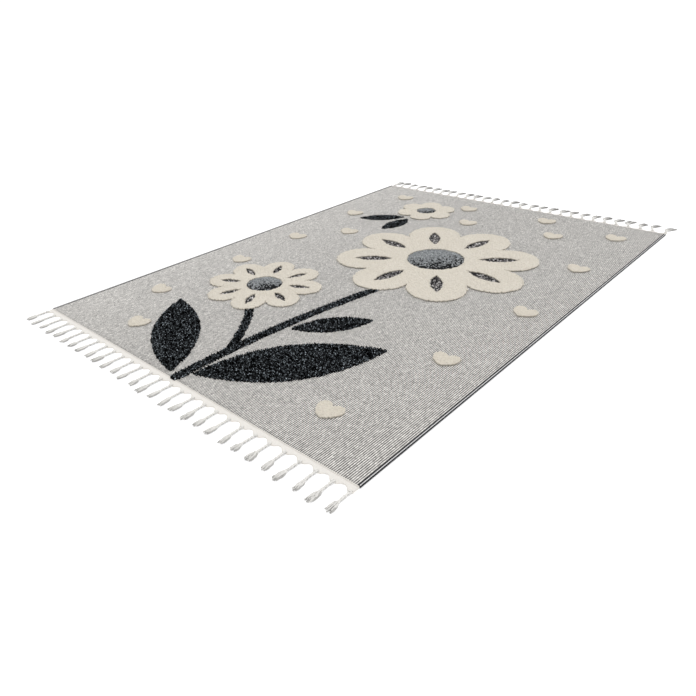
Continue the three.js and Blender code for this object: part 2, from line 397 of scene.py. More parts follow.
def make_camera():
    data = bpy.data.cameras.new("photo_camera")
    data.sensor_width = SENSOR
    data.lens = SENSOR * FOCAL_PIXELS / PHOTO_SIZE
    data.shift_x = (PHOTO_SIZE / 2 - CENTRE_PIXEL[0]) / PHOTO_SIZE
    data.shift_y = (CENTRE_PIXEL[1] - PHOTO_SIZE / 2) / PHOTO_SIZE
    data.clip_start = NEAREST_SEEN
    forward = Vector((
        math.cos(CAMERA_PITCH) * math.cos(CAMERA_YAW),
        math.cos(CAMERA_PITCH) * math.sin(CAMERA_YAW),
        -math.sin(CAMERA_PITCH),
    ))
    right = forward.cross(Vector((0, 0, 1))).normalized()
    up = right.cross(forward)
    turned_right = right * math.cos(CAMERA_ROLL) + up * math.sin(CAMERA_ROLL)
    turned_up = up * math.cos(CAMERA_ROLL) - right * math.sin(CAMERA_ROLL)
    camera = to_object("photo_camera", data)
    turn = Matrix((turned_right, turned_up, -forward)).transposed().to_4x4()
    camera.matrix_world = Matrix.Translation(CAMERA_PLACE) @ turn
    bpy.context.scene.camera = camera


def node(tree, kind, inputs=None, **settings):
    """A new node with its settings, and each input either linked or set."""
    made = tree.nodes.new(kind)
    for name, value in settings.items():
        setattr(made, name, value)
    for key, value in (inputs or {}).items():
        if isinstance(value, bpy.types.NodeSocket):
            tree.links.new(value, made.inputs[key])
        else:
            made.inputs[key].default_value = value
    return made


def maths(tree, operation, first, second=0.0):
    return node(tree, "ShaderNodeMath", {0: first, 1: second}, operation=operation).outputs[0]


def product(tree, first, second):
    return maths(tree, "MULTIPLY", first, second)


def axes(tree, place):
    """The X, Y and Z of a place or a colour."""
    return node(tree, "ShaderNodeSeparateXYZ", {0: place}).outputs


def fade(tree, value, span, to, smooth=False):
    """Goes from the first to the second of two tones, while the value goes through its span."""
    return node(tree, "ShaderNodeMapRange", {
        "Value": value, "From Min": span[0], "From Max": span[1], "To Min": to[0], "To Max": to[1],
    }, interpolation_type="SMOOTHSTEP" if smooth else "LINEAR").outputs[0]


def grain(tree, place, each_metre, detail):
    """Soft noise from 0 to 1, so many grains in each metre."""
    made = node(tree, "ShaderNodeTexNoise", {"Vector": place, "Scale": each_metre, "Detail": detail})
    return made.outputs[0]


def ramp(tree, factor, stops):
    """A colour ramp from (place, colour) stops."""
    made = node(tree, "ShaderNodeValToRGB", {"Fac": factor})
    points = made.color_ramp.elements
    while len(points) < len(stops):
        points.new(0.5)
    for point, (place, colour) in zip(points, stops):
        point.position = place
        point.color = (*colour, 1)
    return made.outputs["Color"]


def times(tree, colour, factor):
    """A colour made darker or lighter by a grey factor."""
    return node(tree, "ShaderNodeVectorMath", {0: colour, 1: factor}, operation="MULTIPLY").outputs[0]


def cloth_material(name, roughness, sheen, gloss=0.2):
    """An empty cloth material: its tree, its shader, and its Object coordinates."""
    material = bpy.data.materials.new(name)
    material.use_nodes = True
    tree = material.node_tree
    tree.nodes.clear()
    shader = node(tree, "ShaderNodeBsdfPrincipled", {
        "Roughness": roughness,
        "Sheen Weight": sheen,
        "Specular IOR Level": gloss,
    })
    node(tree, "ShaderNodeOutputMaterial", {"Surface": shader.outputs[0]})
    place = node(tree, "ShaderNodeTexCoord").outputs["Object"]
    return material, tree, shader, place


def colour_with(tree, shader, colour):
    tree.links.new(colour, shader.inputs["Base Color"])


def bump(tree, shader, height, strength, distance):
    made = node(tree, "ShaderNodeBump", {"Height": height, "Strength": strength, "Distance": distance})
    tree.links.new(made.outputs[0], shader.inputs["Normal"])


def ground_material():
    """Heathered flat weave: dashes of light and dark yarn along each rib, and dashes of painted shade in
    the hollows between the ribs.
    """
    material, tree, shader, place = cloth_material("ground_weave", roughness=0.95, sheen=0.15)
    parts = axes(tree, place)
    across = maths(tree, "DIVIDE", parts["X"], RIB)
    rib = maths(tree, "FLOOR", across)
    in_rib = maths(tree, "FRACT", across)
    offset = node(tree, "ShaderNodeTexWhiteNoise", {"W": rib}, noise_dimensions="1D").outputs["Value"]

    def along(length):
        return maths(tree, "ADD", maths(tree, "DIVIDE", parts["Y"], length), offset)

    def dashes(line, length, seed):
        place_in_line = maths(tree, "FLOOR", along(length))
        cell = node(tree, "ShaderNodeCombineXYZ", {"X": line, "Y": place_in_line, "Z": seed}).outputs[0]
        return node(tree, "ShaderNodeTexWhiteNoise", {0: cell}, noise_dimensions="3D").outputs["Value"]

    yarn = ramp(tree, dashes(rib, CREST_DASH, seed=1.0), GROUND_YARN)
    ridge = maths(tree, "PINGPONG", in_rib, 0.5)
    crest = fade(tree, ridge, HOLLOW_SHADE_EDGE, (0.0, 1.0), smooth=True)
    # Painted shade: the hollow between two ribs is darkened in dashes, while the crest keeps its yarn's
    # own tone
    hollow = maths(tree, "FLOOR", maths(tree, "ADD", across, 0.5))
    hollow_shade_tone = maths(tree, "POWER", dashes(hollow, HOLLOW_SHADE_DASH, seed=3.0), HOLLOW_SHADE_FEWNESS)
    hollow_shade = product(tree, hollow_shade_tone, HOLLOW_SHADE_LIGHTEST)
    shade = node(tree, "ShaderNodeMix", {"Factor": crest, "A": hollow_shade, "B": 1.0}).outputs[0]
    wide = grain(tree, place, each_metre=9.0, detail=2.0)
    soft = fade(tree, wide, (0.0, 1.0), SOFT_TONES)
    colour_with(tree, shader, times(tree, yarn, product(tree, shade, soft)))
    stitch = maths(tree, "PINGPONG", along(STITCH_LENGTH), 0.5)
    fibre = grain(tree, place, each_metre=1400.0, detail=1.0)
    height = maths(tree, "ADD", product(tree, stitch, STITCH_RELIEF), product(tree, fibre, FIBRE_RELIEF))
    bump(tree, shader, height, strength=0.6, distance=0.0004)
    return material


def pile_material(
    name, yarn_tones, foot_shade_from, foot_shade, ends, sheen, gloss=0.2, ends_each_metre=400.0,
):
    """Cut pile: each tuft has its own tone and a foot darkened with painted shade, and the ends of its
    yarn differ in tone, which on the charcoal shag are partly painted highlights.
    """
    material, tree, shader, place = cloth_material(name, roughness=0.95, sheen=sheen, gloss=gloss)
    tone = node(tree, "ShaderNodeAttribute", attribute_name="tone").outputs["Fac"]
    yarn = ramp(tree, tone, yarn_tones)
    height = axes(tree, place)["Z"]
    # Painted shade: each tuft darkens towards its foot, as the pile shades its own lower part
    depth = fade(tree, height, (foot_shade_from, foot_shade_from + FOOT_SHADE_DEPTH), (foot_shade, 1.0), smooth=True)
    # The ends' tones: tone that differs at random, and on the charcoal shag partly painted highlights
    cells = node(tree, "ShaderNodeTexVoronoi", {"Vector": place, "Scale": ends_each_metre})
    end_tone = maths(tree, "POWER", axes(tree, cells.outputs["Color"])["X"], ends["fewness"])
    speck = fade(tree, end_tone, (0.0, 1.0), (ends["darkest"], ends["lightest"]))
    colour_with(tree, shader, times(tree, yarn, product(tree, depth, speck)))
    fibre = grain(tree, place, each_metre=1100.0, detail=1.0)
    bump(tree, shader, fibre, strength=0.5, distance=0.0005)
    return material


def spun_yarn(tree, shader, place, light, dark):
    """The colour of spun yarn with fine fibres, which are raised a little too."""
    drawn = node(tree, "ShaderNodeMapping", {"Vector": place, "Scale": FIBRE_DRAWN}).outputs[0]
    fibre = grain(tree, drawn, each_metre=900.0, detail=2.0)
    bump(tree, shader, fibre, strength=0.5, distance=0.0005)
    return ramp(tree, fibre, [(DARK_FIBRES, dark), (LIGHT_FIBRES, light)])


def yarn_material(name, light, dark, sheen=0.2):
    material, tree, shader, place = cloth_material(name, roughness=0.9, sheen=sheen)
    colour_with(tree, shader, spun_yarn(tree, shader, place, light, dark))
    return material


def tassel_material(end, brush_shade):
    """Cotton yarn with painted shade: darker towards the floor, and greyer in the loose brush than in the
    neck.
    """
    material, tree, shader, place = cloth_material("tassel_cotton_" + end, roughness=0.9, sheen=0.1)
    colour = spun_yarn(tree, shader, place, light=(0.92, 0.905, 0.865), dark=(0.70, 0.69, 0.655))
    parts = axes(tree, place)
    # Painted shade: darker low down near the floor, and greyer in the brush
    depth = fade(tree, parts["Z"], TASSEL_SHADE_SPAN, (TASSEL_SHADE_DARKEST, 1.0))
    reach = product(tree, parts["Y"], ENDS[end])
    brush_shade_span = [FAR_Y + BAND_DEPTH + past for past in BRUSH_SHADE_REACH]
    loose = fade(tree, reach, brush_shade_span, (1.0, brush_shade))
    colour_with(tree, shader, times(tree, colour, product(tree, depth, loose)))
    return material


def floor_material():
    """A pale floor that also glows a little, so that it ends as white as the paper round the rug."""
    material, _, shader, _ = cloth_material("floor", roughness=0.9, sheen=0.0)
    shader.inputs["Base Color"].default_value = FLOOR_WHITE
    shader.inputs["Emission Color"].default_value = GLOW_WHITE
    shader.inputs["Emission Strength"].default_value = FLOOR_GLOW
    return material


def make_materials():
    cream_ends = {"darkest": 0.93, "lightest": 1.07, "fewness": 1}
    return {
        "ground": ground_material(),
        "cream": pile_material(
            "cream_pile", CREAM_YARN, foot_shade_from=GROUND_TOP, foot_shade=0.32, ends=cream_ends, sheen=0.4,
        ),
        # The hearts: the same cream, with lighter painted shade at the foot
        "heart": pile_material(
            "heart_pile", CREAM_YARN, foot_shade_from=GROUND_TOP, foot_shade=0.65, ends=cream_ends, sheen=0.4,
        ),
        # Charcoal shag: its rare light yarn ends are partly lighter fibres and partly painted highlights
        # on the shag
        "charcoal": pile_material(
            "charcoal_shag", CHARCOAL_YARN, foot_shade_from=GROUND_TOP, foot_shade=0.3,
            ends={"darkest": 0.0, "lightest": 34.0, "fewness": 8.5}, sheen=0.0, gloss=0.02,
        ),
        "grey": pile_material(
            "grey_pile", GREY_YARN, foot_shade_from=GROUND_TOP, foot_shade=0.4,
            ends={"darkest": 0.4, "lightest": 1.7, "fewness": 1}, sheen=0.1, gloss=0.05,
        ),
        "dark": pile_material(
            "dark_weave", DARK_YARN, foot_shade_from=TUFT_FOOT, foot_shade=0.2,
            ends={"darkest": 0.35, "lightest": 1.6, "fewness": 1}, sheen=0.0, gloss=0.05,
            ends_each_metre=250.0,
        ),
        "edge": yarn_material(
            "edge_yarn", light=(0.04, 0.04, 0.042), dark=(0.012, 0.012, 0.014), sheen=0.0,
        ),
        "edge_light": yarn_material("edge_light", light=(0.86, 0.86, 0.85), dark=(0.55, 0.55, 0.55)),
        "band": yarn_material("band_cotton", light=(0.85, 0.82, 0.77), dark=(0.78, 0.75, 0.70)),
        # The far tassels are a more shaded copy: their brush takes much more painted shade
        "tassel_near": tassel_material("near", brush_shade=0.92),
        "tassel_far": tassel_material("far", brush_shade=0.54),
        "floor": floor_material(),
    }


def to_object(name, data):
    made = bpy.data.objects.new(name, data)
    bpy.context.scene.collection.objects.link(made)
    return made


def to_piece(name, mesh, material):
    """A finished piece of the rug: its object at the origin, riding on the rug's one body."""
    mesh.materials.clear()
    mesh.materials.append(material)
    mesh.polygons.foreach_set("use_smooth", [True] * len(mesh.polygons))
    piece = to_object(name, mesh)
    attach(piece, "root")
    return piece


def mesh_of(bm, name):
    mesh = bpy.data.meshes.new(name)
    bm.to_mesh(mesh)
    bm.free()
    return mesh


def final_mesh(made):
    """The mesh that an object shows, with its modifiers or its bevel, after which the object goes."""
    bpy.context.view_layer.update()
    mesh = bpy.data.meshes.new_from_object(made.evaluated_get(bpy.context.evaluated_depsgraph_get()))
    bpy.data.objects.remove(made)
    return mesh


def rim_of(bm):
    return [edge for edge in bm.edges if edge.is_boundary]


def close_down(bm, floor_z):
    """Drops a wall from the rim of a cloth to the floor, and closes it with an underside."""
    fall = bmesh.ops.extrude_edge_only(bm, edges=rim_of(bm))
    for item in fall["geom"]:
        if isinstance(item, bmesh.types.BMVert):
            item.co.z = floor_z
    bmesh.ops.contextual_create(bm, geom=rim_of(bm))
    bmesh.ops.recalc_face_normals(bm, faces=bm.faces)


def in_lens(x, y, base, tip, half, inset=0.0):
    """In the lens that runs from its base to its tip, less an inset along its sides."""
    along = Vector(tip) - Vector(base)
    length = along.length
    way = along / length
    dx, dy = x - base[0], y - base[1]
    t = (dx * way.x + dy * way.y) / length
    off = abs(dy * way.x - dx * way.y)
    return 0 < t < 1 and off < 4 * half * t * (1 - t) - inset


def petal_radius(flower, angle):
    swell = abs(math.sin(flower["petals"] * angle / 2)) ** PETAL_ROUNDNESS
    return flower["radius"] * (PETAL_VALLEY + (1 - PETAL_VALLEY) * swell)


def in_flower(flower, x, y, inset=0.0):
    """Inside the outline of a flower's petals, less an inset all round it."""
    dx, dy = x - flower["x"], y - flower["y"]
    return math.hypot(dx, dy) < petal_radius(flower, math.atan2(dy, dx) - flower["turn"]) - inset


def in_disc(flower, x, y, margin=0.0):
    return math.hypot(x - flower["x"], y - flower["y"]) < flower["disc"] + margin


def in_slit(flower, x, y, inset=0.0):
    """In the low lens along the middle of a petal, less an inset all round it."""
    dx, dy = x - flower["x"], y - flower["y"]
    step = 2 * math.pi / flower["petals"]
    angle = (math.atan2(dy, dx) - flower["turn"]) % step - step / 2
    reach = math.hypot(dx, dy)
    place = (reach * math.cos(angle), reach * math.sin(angle))
    inner = flower["radius"] * SLIT_START
    outer = flower["radius"] * SLIT_END
    return in_lens(*place, (inner, 0), (outer, 0), flower["radius"] * SLIT_HALF, inset)


def in_petals(flower, x, y):
    if in_disc(flower, x, y, PILE_INSET) or not in_flower(flower, x, y, PILE_INSET):
        return False
    return flower not in SLIT_FLOWERS or not in_slit(flower, x, y, -SLIT_INSET)


def stem_lines():
    """Each stem's centre line as close points, with its half width."""
    lines = []
    for stem in STEMS:
        a, b, c = (Vector(stem[key]) for key in ("start", "middle", "end"))
        steps = [i / STEM_STEPS for i in range(STEM_STEPS + 1)]
        points = [a * (1 - t) ** 2 + b * 2 * t * (1 - t) + c * t * t for t in steps]
        lines.append((points, stem["half"]))
    return lines


STEM_LINES = stem_lines()


def in_greenery(x, y):
    """In a leaf or a stem, and outside the flowers that lie over them."""
    if any(in_flower(flower, x, y) for flower in FLOWERS):
        return False
    if any(in_lens(x, y, leaf["base"], leaf["tip"], leaf["half"], PILE_INSET) for leaf in LEAVES):
        return True
    spot = Vector((x, y))
    return any(
        (spot - point).length < half - PILE_INSET
        for points, half in STEM_LINES
        for point in points
    )


def heart_outline():
    """A heart's outline round its middle, by four curves, pointing towards the near end."""
    w, h = HEART_WIDTH / 2, HEART_HEIGHT / 2
    notch = 0.55 * h
    bends = [
        ((0, -h), (0.5 * w, -0.75 * h), (w, -0.3 * h), (w, 0.4 * h)),
        ((w, 0.4 * h), (w, 1.15 * h), (0.25 * w, 1.15 * h), (0, notch)),
    ]
    right = [
        point for bend in bends
        for point in geometry.interpolate_bezier(*map(Vector, bend), HEART_STEPS)[:-1]
    ]
    left = [Vector((-point.x, point.y)) for point in right[:0:-1]]
    return right + [Vector((0, notch))] + left


HEART_LOOP = heart_outline()


def in_heart(heart, x, y):
    """Inside a heart's outline, drawn in a little, by how often a line to one side crosses it."""
    dx, dy = x - heart["x"], y - heart["y"]
    cosine, sine = math.cos(heart["turn"]), math.sin(heart["turn"])
    drawn_in = 1 - 2 * HEART_INSET / HEART_WIDTH
    px, py = (dx * cosine + dy * sine) / drawn_in, (dy * cosine - dx * sine) / drawn_in
    inside = False
    last = HEART_LOOP[-1]
    for point in HEART_LOOP:
        if (point.y > py) != (last.y > py):
            crossing = (last.x - point.x) * (py - point.y) / (last.y - point.y) + point.x
            if px < crossing:
                inside = not inside
        last = point
    return inside


def rows_of(inside, low, high, closeness=1.0):
    """Places inside a motif, on the weave's grid or a closer one. Every second row is shifted."""
    places = []
    across, along = RIB * closeness, ROW * closeness
    for row in range(math.floor(low[1] / along), math.ceil(high[1] / along) + 1):
        shift = 0.5 * (row % 2)
        for column in range(math.floor(low[0] / across), math.ceil(high[0] / across) + 1):
            x, y = (column + shift) * across, row * along
            if inside(x, y):
                places.append((x, y))
    return places


def rows_round(motif, inside, reach, closeness=1.0):
    """Places inside a motif, looked for as far as its reach on all sides of its middle."""
    low = (motif["x"] - reach, motif["y"] - reach)
    high = (motif["x"] + reach, motif["y"] + reach)
    return rows_of(inside, low, high, closeness)


def edge_way(inside, x, y):
    """Which way the motif's edge lies, as a short vector, zero away from it."""
    way = Vector((0, 0))
    for step in range(EDGE_SIDES):
        angle = 2 * math.pi * step / EDGE_SIDES
        side = Vector((math.cos(angle), math.sin(angle)))
        if not inside(x + side.x * EDGE_REACH, y + side.y * EDGE_REACH):
            way += side
    return way * 2 / EDGE_SIDES


def plain_tone(x, y, chance):
    patch = noise.noise(Vector((x * PATCHES_EACH_METRE, y * PATCHES_EACH_METRE, PATCH_SEED)))
    return min(1, max(0, MIDDLE_TONE + PATCH_TONE * patch + chance.uniform(-TUFT_TONE, TUFT_TONE)))


def flecked_tone(x, y, chance):
    return chance.random()


def specked_tone(flower, x, y, chance):
    """Grey, with dark specks that grow denser towards one side of the disc."""
    dx, dy = x - flower["x"], y - flower["y"]
    aside = (dx - dy) / flower["disc"]
    if chance.random() < SPECK_SHARE + SPECK_GROWTH * aside:
        return SPECK_TONE
    return chance.uniform(*UNSPECKED_TONES)


def slit_tone_and_rim_shade(flower, x, y, chance):
    """Mixed in the middle of a slit, and painted dark along its rim as shade from the cream pile's wall.
    """
    return chance.random() if in_slit(flower, x, y, SLIT_SHADE_RIM) else RIM_SHADE_TONE


def pile_spots(kind, number, places, inside, tone_of):
    """The spots of one piece of pile: they lean at random, and outwards and lower at the motif's edge."""
    pile = PILES[kind]
    seed = pile["seed"] + number
    chance = random.Random(seed)
    spots = []
    for x, y in places:
        edge = edge_way(inside, x, y)
        angle = chance.uniform(0, 2 * math.pi)
        wander = Vector((math.cos(angle), math.sin(angle))) * chance.uniform(0, pile["lean"])
        nap = noise.noise(Vector((x * NAPS_EACH_METRE, y * NAPS_EACH_METRE, seed))) * NAP
        height = chance.uniform(*pile["heights"]) + nap - EDGE_LOWER * min(1, edge.length)
        width = chance.uniform(*TUFT_WIDTHS)
        shaken_x = x + chance.uniform(-TUFT_SHAKE, TUFT_SHAKE)
        shaken_y = y + chance.uniform(-TUFT_SHAKE, TUFT_SHAKE)
        spots.append({
            "place": (shaken_x, shaken_y, TUFT_FOOT),
            "lean": wander + edge * pile["edge_lean"],
            "spin": chance.uniform(0, 2 * math.pi),
            "size": (width, width, height),
            "tone": tone_of(x, y, chance),
        })
    return spots


def tuft_shape(kind):
    """One tuft, standing from its foot at the origin: a stub with a domed head."""
    pile = PILES[kind]
    height = (pile["top"] - TUFT_FOOT) / (1 + TUFT_DOME)
    bm = bmesh.new()
    bmesh.ops.create_cone(
        bm, cap_ends=True, segments=TUFT_SIDES, radius1=pile["foot"], radius2=pile["head"], depth=height,
        matrix=Matrix.Translation((0, 0, height / 2)),
    )
    head = [face for face in bm.faces if face.normal.z > FACING_UP]
    domed = bmesh.ops.poke(bm, faces=head)
    for vert in domed["verts"]:
        vert.co.z += height * TUFT_DOME
    return to_object("tuft", mesh_of(bm, "tuft"))


def planting(tuft):
    """Puts a tuft at each point, turned and sized by the point's own values, as one real mesh."""
    tree = bpy.data.node_groups.new("planting", "GeometryNodeTree")
    tree.interface.new_socket("Geometry", in_out="INPUT", socket_type="NodeSocketGeometry")
    tree.interface.new_socket("Geometry", in_out="OUTPUT", socket_type="NodeSocketGeometry")
    start = node(tree, "NodeGroupInput")
    turn = node(tree, "GeometryNodeInputNamedAttribute", {"Name": "turn"}, data_type="FLOAT_VECTOR")
    size = node(tree, "GeometryNodeInputNamedAttribute", {"Name": "size"}, data_type="FLOAT_VECTOR")
    spin = node(tree, "FunctionNodeEulerToRotation", {"Euler": turn.outputs["Attribute"]})
    shape = node(tree, "GeometryNodeObjectInfo", {"Object": tuft})
    planted = node(tree, "GeometryNodeInstanceOnPoints", {
        "Points": start.outputs[0],
        "Instance": shape.outputs["Geometry"],
        "Rotation": spin.outputs[0],
        "Scale": size.outputs["Attribute"],
    })
    real = node(tree, "GeometryNodeRealizeInstances", {"Geometry": planted.outputs[0]})
    node(tree, "NodeGroupOutput", {0: real.outputs[0]})
    return tree


def plant(name, spots, tuft, material):
    """One piece of pile. Each spot has its place, lean, spin, size and tone."""
    bm = bmesh.new()
    for spot in spots:
        bm.verts.new(spot["place"])
    mesh = mesh_of(bm, name + "_places")
    turns, sizes, tones = [], [], []
    for spot in spots:
        spin = spot["spin"]
        lean = spot["lean"]
        toward_x = lean.x * math.cos(spin) + lean.y * math.sin(spin)
        toward_y = lean.y * math.cos(spin) - lean.x * math.sin(spin)
        turns += [-toward_y, toward_x, spin]
        sizes += spot["size"]
        tones.append(spot["tone"])
    mesh.attributes.new("turn", "FLOAT_VECTOR", "POINT").data.foreach_set("vector", turns)
    mesh.attributes.new("size", "FLOAT_VECTOR", "POINT").data.foreach_set("vector", sizes)
    mesh.attributes.new("tone", "FLOAT", "POINT").data.foreach_set("value", tones)
    bed = to_object(name + "_places", mesh)
    bed.modifiers.new("planting", "NODES").node_group = planting(tuft)
    pile = final_mesh(bed)
    pile.name = name
    for attribute in ("turn", "size"):
        if attribute in pile.attributes:
            pile.attributes.remove(pile.attributes[attribute])
    return to_piece(name, pile, material)


def flower_parts(flower):
    """A flower's parts, each with its kind of pile, its inside, its tones, its material and its slot."""
    parts = [
        ("petals", partial(in_petals, flower), plain_tone, "cream", "cream_pile"),
        ("disc", partial(in_disc, flower), partial(specked_tone, flower), "grey", "grey_pile"),
    ]
    if flower in SLIT_FLOWERS:
        inside = partial(in_slit, flower, inset=SLIT_INSET)
        parts.append(("slits", inside, partial(slit_tone_and_rim_shade, flower), "dark", "dark_weave"))
    return parts


def make_flowers(materials):
    """Cream petals round a speckled grey disc, and in the larger flowers a dark slit in each petal."""
    tufts = {kind: tuft_shape(kind) for kind in ("petals", "disc", "slits")}
    pieces = []
    for number, flower in enumerate(FLOWERS):
        for kind, inside, tone_of, material, slot in flower_parts(flower):
            places = rows_round(flower, inside, flower["radius"])
            spots = pile_spots(kind, number, places, inside, tone_of)
            name = flower["name"] + "_" + kind
            pieces.append(plant(name, spots, tufts[kind], materials[material]))
    for tuft in tufts.values():
        bpy.data.objects.remove(tuft)
    return pieces


def make_hearts(materials):
    """The scattered hearts, as one piece in fine cream pile."""
    tuft = tuft_shape("hearts")
    spots = []
    for number, heart in enumerate(HEARTS):
        inside = partial(in_heart, heart)
        places = rows_round(heart, inside, HEART_REACH, HEART_CLOSENESS)
        spots += pile_spots("hearts", number, places, inside, plain_tone)
    piece = plant("hearts", spots, tuft, materials["heart"])
    bpy.data.objects.remove(tuft)
    return piece


def make_greenery(materials):
    """Stems and leaves in long charcoal shag, with ragged edges."""
    tuft = tuft_shape("shag")
    places = rows_of(in_greenery, GREENERY_LOW, GREENERY_HIGH)
    spots = pile_spots("shag", 0, places, in_greenery, flecked_tone)
    piece = plant("leaves_and_stems", spots, tuft, materials["charcoal"])
    bpy.data.objects.remove(tuft)
    return piece


def make_ground(materials):
    """The flat woven ground: a grid with a crest and a hollow for each rib, closed down to the floor."""
    bm = bmesh.new()
    bmesh.ops.create_grid(bm, x_segments=2 * RIBS, y_segments=GROUND_ROWS, size=1)
    chance = random.Random(GROUND_SEED)
    for vert in bm.verts:
        column = round((vert.co.x + 1) * RIBS)
        x = vert.co.x * GROUND_HALF
        y = vert.co.y * LENGTH / 2
        rise = chance.uniform(-CREST_SHAKE, CREST_SHAKE) if column % 2 else -RIB_DEPTH
        wave = noise.noise(Vector((x * WAVES_EACH_METRE, y * WAVES_EACH_METRE, 0.0))) * GROUND_WAVE
        vert.co = (x, y, GROUND_TOP + rise + wave)
    close_down(bm, 0)
    piece = to_piece("ground", mesh_of(bm, "ground"), materials["ground"])
    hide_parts("rug_body")
    return piece


def rounded(value, roundness):
    """A sine or cosine bent towards its ends, so that a circle becomes a rounded square."""
    return math.copysign(abs(value) ** roundness, value)


def make_edge(side, materials):
    """One serged edge: yarn wrapped round the side in slanting turns."""
    rows = round(LENGTH / WRAP) * WRAP_ROWS
    low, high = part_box("binding_" + side)
    sign = SIDES[side]
    centre_x = (low.x + high.x + sign * EDGE_OVERLAP) / 2
    half_x = (high.x - low.x - EDGE_OVERLAP) / 2 + EDGE_SWELL
    half_z = EDGE_TOP / 2 - EDGE_LIFT
    bm = bmesh.new()
    bmesh.ops.create_grid(bm, x_segments=WRAP_AROUND, y_segments=rows, size=1)
    for vert in bm.verts:
        turn = (vert.co.x + 1) * math.pi
        along = (vert.co.y + 1) / 2
        row = round(along * rows)
        within = 0 < row < rows
        lump = WRAP_LUMP * (1 - abs(2 * (row % WRAP_ROWS) / WRAP_ROWS - 1)) if within else 0
        slant = WRAP_SLANT * math.cos(turn) * sign if within else 0
        round_x = rounded(math.cos(turn), ROUND_ABOVE if math.sin(turn) > 0 else ROUND_BELOW)
        round_z = rounded(math.sin(turn), ROUND_UPRIGHT)
        x = centre_x + round_x * (half_x + lump * LUMP_ASIDE)
        z = half_z + EDGE_LIFT + round_z * (half_z + (lump if round_z > 0 else 0))
        vert.co = (x, NEAR_Y + along * LENGTH + slant, z)
    bmesh.ops.remove_doubles(bm, verts=bm.verts, dist=SAME_PLACE)
    bmesh.ops.holes_fill(bm, edges=rim_of(bm), sides=0)
    bmesh.ops.recalc_face_normals(bm, faces=bm.faces)
    mesh = mesh_of(bm, "serged_edge_" + side)
    piece = to_piece("serged_edge_" + side, mesh, materials["edge"])
    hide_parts("binding_" + side)
    return piece


def tube(name, lines, material):
    """Round yarns along their lines of (x, y, z, radius), made into one mesh."""
    curve = bpy.data.curves.new(name, "CURVE")
    curve.dimensions = "3D"
    curve.bevel_depth = 1
    curve.bevel_resolution = YARN_ROUNDNESS
    curve.use_fill_caps = True
    for line in lines:
        spline = curve.splines.new("POLY")
        spline.points.add(len(line) - 1)
        for point, (x, y, z, radius) in zip(spline.points, line):
            point.co = (x, y, z, 1)
            point.radius = radius
    return to_piece(name, final_mesh(to_object(name + "_line", curve)), material)


def make_stitch_line(side, materials):
    """The light chain of stitches that lies along the serged edge."""
    steps = round(LENGTH / STITCH_PITCH) * STITCH_PARTS
    stitches = STITCH_LINES[side]
    x = SIDES[side] * (edge_high.x - stitches["inset"])
    line = []
    for i in range(steps + 1):
        y = NEAR_Y + STITCH_END + (LENGTH - 2 * STITCH_END) * i / steps
        share = 1 if i % STITCH_PARTS else STITCH_WAIST
        line.append((x, y, EDGE_TOP + STITCH_RISE, share * stitches["thick"]))
    return tube("edge_stitches_" + side, [line], materials["edge_light"])


def tassel_centre(index):
    span = cad_high.x * 2 - 2 * TASSEL_INSET
    return -span / 2 + span * index / (TASSELS - 1)


def band_rim(x):
    """How far the band reaches from the rug at x: arched between the tassels' roots."""
    pitch = tassel_centre(1) - tassel_centre(0)
    place = (x - tassel_centre(0)) / pitch
    off = abs(place - round(place)) * pitch
    arch_half = pitch / 2 - ROOT_HALF
    from_root = (off - ROOT_HALF) / arch_half
    if from_root <= 0 or place < 0 or place > TASSELS - 1:
        return BAND_DEPTH
    return BAND_DEPTH - ARCH_DEPTH * (1 - (1 - from_root) ** 2)


def make_band(end, materials):
    """The woven end band: a thin cloth with its outer rim arched, rising to the rug's edge."""
    sign = ENDS[end]
    half = cad_high.x - BAND_INSET
    bm = bmesh.new()
    bmesh.ops.create_grid(bm, x_segments=(TASSELS - 1) * BAND_COLUMNS + 2, y_segments=BAND_ROWS, size=1)
    for vert in bm.verts:
        x = vert.co.x * half
        part = (vert.co.y + 1) / 2
        out = part * band_rim(x)
        rise = BAND_RISE * (1 - part) ** 2
        place = Vector((x * RIPPLES_ACROSS, out * RIPPLES_OUT, RIPPLE_SEED + sign))
        ripple = BAND_RIPPLE * noise.noise(place)
        vert.co = (x, sign * (FAR_Y + out), BAND_THICK + rise + ripple)
    close_down(bm, BAND_FLOOR)
    mesh = mesh_of(bm, "end_band_" + end)
    return to_piece("end_band_" + end, mesh, materials["band"])


def make_band_roll(end, materials):
    """The rolled bright yarn line along the joint of the band and the rug."""
    chance = random.Random(ROLL_SEED[end])
    half = cad_high.x - ROLL["inset"]
    y = ENDS[end] * (FAR_Y + ROLL["out"])
    line = []
    for i in range(ROLL_STEPS + 1):
        x = half * (2 * i / ROLL_STEPS - 1)
        z = ROLL["height"] + chance.uniform(-ROLL["shake"], ROLL["shake"])
        line.append((x, y, z, ROLL["radius"]))
    return tube("band_roll_" + end, [line], materials["band"])


def tassel_line(end, index):
    """How far to the side a tassel's middle lies, at each part of its length from 0 to 1."""
    lean = LEAN[end] * math.sin(index * LEAN_TURN["step"] + LEAN_TURN["start"])
    bow = -BOW[end] * (BOW_TURN["mean"] + BOW_TURN["swing"] * math.sin(index * BOW_TURN["step"]))
    if index == 0:
        lean = bow = 0
    if index == TASSELS - 1:
        lean = CORNER_LEAN[end]
        bow = -CORNER_BOW * BOW[end]

    def aside(part):
        return lean * part ** 2 + bow * math.sin(math.pi * part ** BOW_EARLINESS)

    return aside


